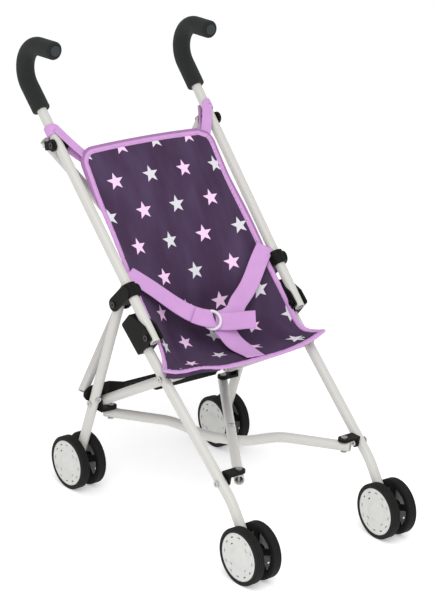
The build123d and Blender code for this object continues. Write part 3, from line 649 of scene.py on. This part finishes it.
def dress(material, *stems):
    """Gives a finish to every CAD node whose name starts with one of the stems."""
    nodes = [o for name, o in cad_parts.items() if name.startswith(stems)]
    if not nodes:
        raise RuntimeError("no node is named " + ", ".join(stems))
    for node in nodes:
        for place in node.material_slots:
            place.material = material


# Operators
class STROLLER_OT_seat(bpy.types.Operator):
    """Sling seat with its bound edge, hem and stitching"""

    bl_idname = "stroller.seat"
    bl_label = "Seat"

    def execute(self, context):
        cloth = context.scene.stroller_cloth
        middle = cloth.columns // 2
        across = np.linspace(-1, 1, cloth.columns)[None, :]
        down = np.linspace(0, 1, cloth.rows)[:, None]
        points = sling(across, down, cloth)
        turn = np.linspace(0, 1, HEM_STEPS + 1)[1:, None]
        deeper = np.clip((HEM_FROM - across) / HEM_SPREAD, 0, 1) ** 0.7
        share = HEM_LEAST + (1 - HEM_LEAST) * deeper + 0.06 * np.sin(across * 9.0)
        drop = np.stack([0 * turn * share, HEM_BACK * turn**0.5 * share, -cloth.hem * turn * share], -1)
        sheet = np.concatenate([points, points[-1:] + drop])
        girth = run_along(sheet, axis=1)
        depth = run_along(sheet[..., 1:])
        mark = np.stack(np.broadcast_arrays(girth - girth[:, middle, None], depth, 0.0), -1)
        seat = put_mesh("seat_cloth", sheet, grid_faces(*sheet.shape[:2]), mark)
        wall = seat.modifiers.new("thickness", "SOLIDIFY")
        wall.thickness = CLOTH_THICK * MM
        wall.offset = 0.0
        seat.data.materials.append(star_cloth(cloth))
        soft(seat, "seat_fabric", "seat")
        edge = self.bound_edge(cloth)
        edge.data.materials.append(webbing_weave("binding_weave", cloth.webbing))
        # The rolled hem takes the darker roll colour: painted shade along the top edge
        roll = self.rolled_hem(cloth)
        roll.data.materials.append(webbing_weave("painted_shade_roll_weave", cloth.roll))
        thread = self.stitches(cloth)
        thread.data.materials.append(sewing_thread(cloth.thread))
        trim = [edge, roll, thread]
        for piece in trim:
            soft(piece, "webbing")
        return {"FINISHED"}

    def rim(self, cloth):
        """The cloth's edge as one closed path, down the left side first, with the directions along it, inward
        and out of the face."""
        line, ones = np.linspace(0, 1, RIM_STEPS, endpoint=False), np.ones(RIM_STEPS)
        across = np.concatenate([-ones, 2 * line - 1, ones, 1 - 2 * line])
        down = np.concatenate([line**1.5, ones, 1 - line**1.5, 0 * ones])
        path = sling(across, down, cloth)
        inner = sling(across * RIM_ACROSS, RIM_DOWN + down * (1 - 2 * RIM_DOWN), cloth)
        way = ways(path, closed=True)
        inward = inner - path
        inward = unit(inward - way * np.sum(inward * way, -1, keepdims=True))
        face = np.cross(inward, way)
        face = face * np.sign(np.sum(face * STRAP_FACING, -1, keepdims=True))
        return path, way, inward, face

    def bound_edge(self, cloth):
        """Binding: a folded tape section carried round the cloth's edge, with a faint pucker along it."""
        path, _, inward, face = self.rim(cloth)
        w = cloth.binding
        section = np.array([
            (w, 0.6), (w - 0.3, 1.2), (w * 0.6, 1.5), (1.0, 1.7), (-0.7, 1.3), (-1.4, 0.5),
            (-1.4, -0.5), (-0.7, -1.3), (1.0, -1.7), (w * 0.6, -1.5), (w - 0.3, -1.2), (w, -0.6),
        ])
        run = run_along(path)
        pucker = 1 + sum(share * np.sin(run / wave) for share, wave in PUCKER)[:, None, None]
        points = path[:, None] + section[None, :, :1] * inward[:, None]
        points = points + section[None, :, 1:] * face[:, None] * pucker
        faces = grid_faces(*points.shape[:2], wrap_rows=True, wrap_columns=True)
        return put_mesh("seat_binding", points, faces, cloth_marks(section[:, 0] - w / 2, run, 2 * w))

    def rolled_hem(self, cloth):
        """Rolled hem: a round section along the top edge and just behind it, closed at both ends by a quarter
        sine."""
        rim, _, inward, front = self.rim(cloth)
        pick = np.arange(-RIM_STEPS - ROLL_DOWN, ROLL_DOWN)
        path = rim[pick] - inward[pick] * ROLL_OUT - front[pick] * ROLL_BEHIND
        way = ways(path)
        side = unit(np.cross(way, STRAP_FACING))
        face = np.cross(side, way)
        turn = circle(ROLL_SIDES)
        step = np.arange(len(path))
        near = np.minimum(step, step[::-1])
        girth = cloth.roll_radius * np.sin(np.clip(near / ROLL_TAPER + 0.05, 0, 1) * np.pi / 2)
        out = np.cos(turn)[None, :, None] * side[:, None] + np.sin(turn)[None, :, None] * face[:, None]
        points = path[:, None] + out * girth[:, None, None]
        mark = cloth_marks((turn - np.pi) * cloth.roll_radius, run_along(path), ROLL_WEAVE)
        return put_mesh("seat_top_roll", points, capped_faces(*points.shape[:2]), mark)

    def stitches(self, cloth):
        """Stitches: short rods with drawn-in ends, at an even pitch along the binding on its front face."""
        path, way, inward, face = self.rim(cloth)
        run = run_along(np.concatenate([path, path[:1]]))
        at = np.arange(0, run[-1] - STITCH_END, STITCH_PITCH)
        pick = np.searchsorted(run, at) % len(path)
        inward, face = inward[pick], face[pick]
        t = np.linspace(-1, 1, STITCH_ROWS)
        turn = circle(STITCH_SIDES)[None, None, :, None]
        girth = STITCH_RADIUS * np.sqrt(np.maximum(1 - t**4, 0.05))
        middle = path[pick] + inward * (cloth.binding - STITCH_INSET) + face * STITCH_RISE
        along = middle[:, None, None] + way[pick][:, None, None] * (t[None, :, None, None] * STITCH_HALF)
        around = inward[:, None, None] * np.cos(turn) + face[:, None, None] * np.sin(turn)
        points = along + around * girth[None, :, None, None]
        rod = np.array(grid_faces(STITCH_ROWS, STITCH_SIDES, wrap_columns=True))
        first = np.arange(len(at)) * STITCH_ROWS * STITCH_SIDES
        faces = (rod[None] + first[:, None, None]).reshape(-1, 4)
        return put_mesh("seat_stitches", points, faces.tolist())


class STROLLER_OT_loops(bpy.types.Operator):
    """Webbing loops that hang the backrest on the handle tubes"""

    bl_idname = "stroller.loops"
    bl_label = "Seat loops"

    def execute(self, context):
        cloth = context.scene.stroller_cloth
        material = webbing_weave("loop_weave", cloth.webbing)
        for side, name in ((1, "right"), (-1, "left")):
            piece = self.loop("seat_loop_" + name, side, cloth)
            piece.data.materials.append(material)
            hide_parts("seat_loops")
            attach(piece, "side_frame_" + name)
        return {"FINISHED"}

    def loop(self, name, side, cloth):
        """Loop: from the seat's corner, tangent to the tube, round it and back. Seen along the tube it is the
        taut line round a circle and a point, and along the tails it slides down the tube to the corner."""
        mirror = np.array([side, 1, 1])
        way = TUBE_WAY * mirror
        centre = LOOP_AT * mirror
        corner = (SEAT_EDGE[0] + LOOP_ROOT) * mirror
        flat = corner - centre
        flat = flat - way * (flat @ way)
        reach = np.linalg.norm(flat)
        e1 = flat / reach
        e2 = np.cross(way, e1)
        radius = TUBE_RADIUS + LOOP_ROOM
        start = np.arccos(radius / reach)
        turn = np.linspace(start, 2 * np.pi - start, LOOP_STEPS)[:, None]
        out = np.cos(turn) * e1 + np.sin(turn) * e2
        arc = centre + radius * out
        tail = np.linspace(0, 1, TAIL_STEPS, endpoint=False)[:, None]
        spread = e2 * LOOP_SPREAD
        first = (corner + spread) * (1 - tail) + arc[0] * tail
        last = arc[-1] * (1 - tail[1:]) + (corner - spread) * tail[1:]
        slack = np.concatenate([np.sin(np.pi * tail), 0 * turn, np.sin(np.pi * tail[1:])])
        path = np.concatenate([first, arc, last]) - way * slack * LOOP_SLACK
        facing = np.concatenate([np.repeat(out[:1], len(first), 0), out, np.repeat(out[-1:], len(last), 0)])
        return strap(name, path, facing, cloth.loop, cloth.strap_thick)


class STROLLER_OT_belt(bpy.types.Operator):
    """Lap belt, its loose end and the strap between the legs"""

    bl_idname = "stroller.belt"
    bl_label = "Belt"

    def execute(self, context):
        cloth = context.scene.stroller_cloth
        material = webbing_weave("belt_weave", cloth.webbing)
        for name, nodes, width, steps, root, points in BELTS:
            facing = np.linspace(0, 1, steps)[:, None]
            facing = unit(np.array(root) * (1 - facing) + STRAP_FACING * facing)
            piece = strap(name, curve(points, steps), facing, getattr(cloth, width), cloth.strap_thick)
            piece.data.materials.append(material)
            soft(piece, "webbing", *nodes)
        return {"FINISHED"}


class STROLLER_OT_ring(bpy.types.Operator):
    """Round ring that joins the belts"""

    bl_idname = "stroller.ring"
    bl_label = "Belt ring"

    def execute(self, context):
        tint = context.scene.stroller_finish
        piece = self.ring("belt_ring", tint.ring_radius, tint.ring_wire)
        piece.data.materials.append(moulded("ring_plastic", tint.ring, 0.25, 900.0, 0.2))
        soft(piece, "white_plastic", "buckle_ring")
        return {"FINISHED"}

    def ring(self, name, radius, wire):
        """Torus: a round section carried round a circle that faces the belts."""
        axis = unit(RING_FACING)
        e1 = unit(np.cross((0, 0, 1), axis))
        e2 = np.cross(axis, e1)
        turn = circle(RING_STEPS)[:, None, None]
        girth = circle(WIRE_STEPS)[None, :, None]
        out = np.cos(turn) * e1 + np.sin(turn) * e2
        points = RING_AT + out * (radius + wire * np.cos(girth)) + axis * (wire * np.sin(girth))
        return put_mesh(name, points, grid_faces(RING_STEPS, WIRE_STEPS, wrap_rows=True, wrap_columns=True))


class STROLLER_OT_frame(bpy.types.Operator):
    """Finishes of the tubes, brackets, rivets and grips"""

    bl_idname = "stroller.frame"
    bl_label = "Frame finish"

    def execute(self, context):
        tint = context.scene.stroller_finish
        dress(
            powder_coat(tint.tube), "handle_tube", "front_leg_left", "front_leg_right", "rear_leg_left",
            "rear_leg_right", "side_rail", "back_brace_left", "back_brace_right", "floor_brace",
        )
        dress(
            moulded("bracket_plastic", tint.plastic, 0.42), "pivot_bracket", "hinge_channel", "brace_block",
            "front_bracket", "rear_bracket", "lock_bar",
        )
        dress(
            rivet_steel(tint.steel, tint.plastic), "handle_rivets", "front_leg_rivets", "rear_leg_rivets",
            "back_brace_rivets", "floor_rivets", "front_axle", "rear_axle",
        )
        dress(foam_skin(tint.foam), "foam_grip")
        dress(moulded("plug_plastic", tint.plug, 0.5), "grip_end_plug")
        return {"FINISHED"}


class STROLLER_OT_wheels(bpy.types.Operator):
    """Finishes of the tyres, rims and caps"""

    bl_idname = "stroller.wheels"
    bl_label = "Wheel finish"

    def execute(self, context):
        tint = context.scene.stroller_finish
        dress(tyre_rubber(tint.tyre), "front_tyres", "rear_tyres")
        dress(moulded("rim_plastic", tint.rim, 0.45), "front_rims", "rear_rims")
        dress(moulded("cap_plastic", tint.cap, 0.30, 900.0, 0.1), "front_wheel_caps", "rear_wheel_caps")
        return {"FINISHED"}


class STROLLER_OT_stage(bpy.types.Operator):
    """Camera at the photograph's angle, pale floor and soft light"""

    bl_idname = "stroller.stage"
    bl_label = "Stage"

    def execute(self, context):
        scene = context.scene
        stage = scene.stroller_stage
        self.camera(scene, stage)
        corners = np.array([(-1, -1, 0), (1, -1, 0), (1, 1, 0), (-1, 1, 0)]) * FLOOR_HALF
        floor = put_mesh("floor", corners, [[0, 1, 2, 3]])
        finish = Finish(
            "pale_floor", Base_Color=stage.floor, Roughness=0.9,
            Emission_Color=stage.floor, Emission_Strength=stage.glow,
        )
        floor.data.materials.append(finish.material)
        self.light(scene, "key_light", KEY_AT, KEY_SIZE, stage.key)
        self.light(scene, "fill_light", FILL_AT, FILL_SIZE, stage.fill)
        world = bpy.data.worlds.new("even_light")
        world.use_nodes = True
        sky = world.node_tree.nodes["Background"]
        sky.inputs["Color"].default_value = (1.0, 1.0, 1.0, 1.0)
        sky.inputs["Strength"].default_value = stage.sky
        scene.world = world
        scene.view_settings.view_transform = "Standard"
        return {"FINISHED"}

    def camera(self, scene, stage):
        """Camera that looks along its azimuth and elevation."""
        az, el = stage.azimuth, stage.elevation
        data = bpy.data.cameras.new("camera")
        data.lens = stage.lens
        data.sensor_width = FILM
        back = np.array([np.sin(az) * np.cos(el), -np.cos(az) * np.cos(el), np.sin(el)])
        scene.camera = self.stand(scene, data, stage.position, back, stage.roll)

    def light(self, scene, name, place, size, power):
        """Large soft light aimed at the middle of the object."""
        data = bpy.data.lights.new(name, "AREA")
        data.energy = power
        data.size = size
        self.stand(scene, data, place, unit(np.subtract(place, LIGHT_AIM)))

    def stand(self, scene, data, place, back, roll=0.0):
        """Camera or light at a place in the drawing frame, its back turned one way, rolled about its view."""
        right = unit(np.cross((0, 0, 1), back))
        up = np.cross(back, right)
        turn = np.eye(4)
        turn[:3, 0] = np.cos(roll) * right + np.sin(roll) * up
        turn[:3, 1] = np.cos(roll) * up - np.sin(roll) * right
        turn[:3, 2] = back
        turn[:3, 3] = ORIGIN + np.array(place) * MM
        item = bpy.data.objects.new(data.name, data)
        item.matrix_world = Matrix(turn.tolist())
        scene.collection.objects.link(item)
        return item


class STROLLER_PT_panel(bpy.types.Panel):
    """Sidebar panel with the sizes, the colours and the pieces"""

    bl_label = "Doll stroller"
    bl_idname = "STROLLER_PT_panel"
    bl_space_type = "VIEW_3D"
    bl_region_type = "UI"
    bl_category = "Stroller"

    def draw(self, context):
        for name in GROUPS:
            group = getattr(context.scene, name)
            for key in group.__annotations__:
                self.layout.prop(group, key)
        for operator in OPERATORS:
            self.layout.operator(operator.bl_idname)


OPERATORS = (
    STROLLER_OT_seat, STROLLER_OT_loops, STROLLER_OT_belt, STROLLER_OT_ring, STROLLER_OT_frame,
    STROLLER_OT_wheels, STROLLER_OT_stage,
)
GROUPS = {
    "stroller_cloth": StrollerCloth, "stroller_finish": StrollerFinish, "stroller_stage": StrollerStage,
}
CLASSES = (*GROUPS.values(), *OPERATORS, STROLLER_PT_panel)


def register():
    """Adds the classes and the scene's settings."""
    for item in CLASSES:
        bpy.utils.register_class(item)
    for name, group in GROUPS.items():
        setattr(bpy.types.Scene, name, PointerProperty(type=group))


def unregister():
    """Takes them away again."""
    for name in GROUPS:
        delattr(bpy.types.Scene, name)
    for item in reversed(CLASSES):
        bpy.utils.unregister_class(item)


def main():
    """Registers the add-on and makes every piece."""
    register()
    for operator in OPERATORS:
        getattr(bpy.ops.stroller, operator.bl_idname.split(".")[1])()


if __name__ == "__main__":
    main()
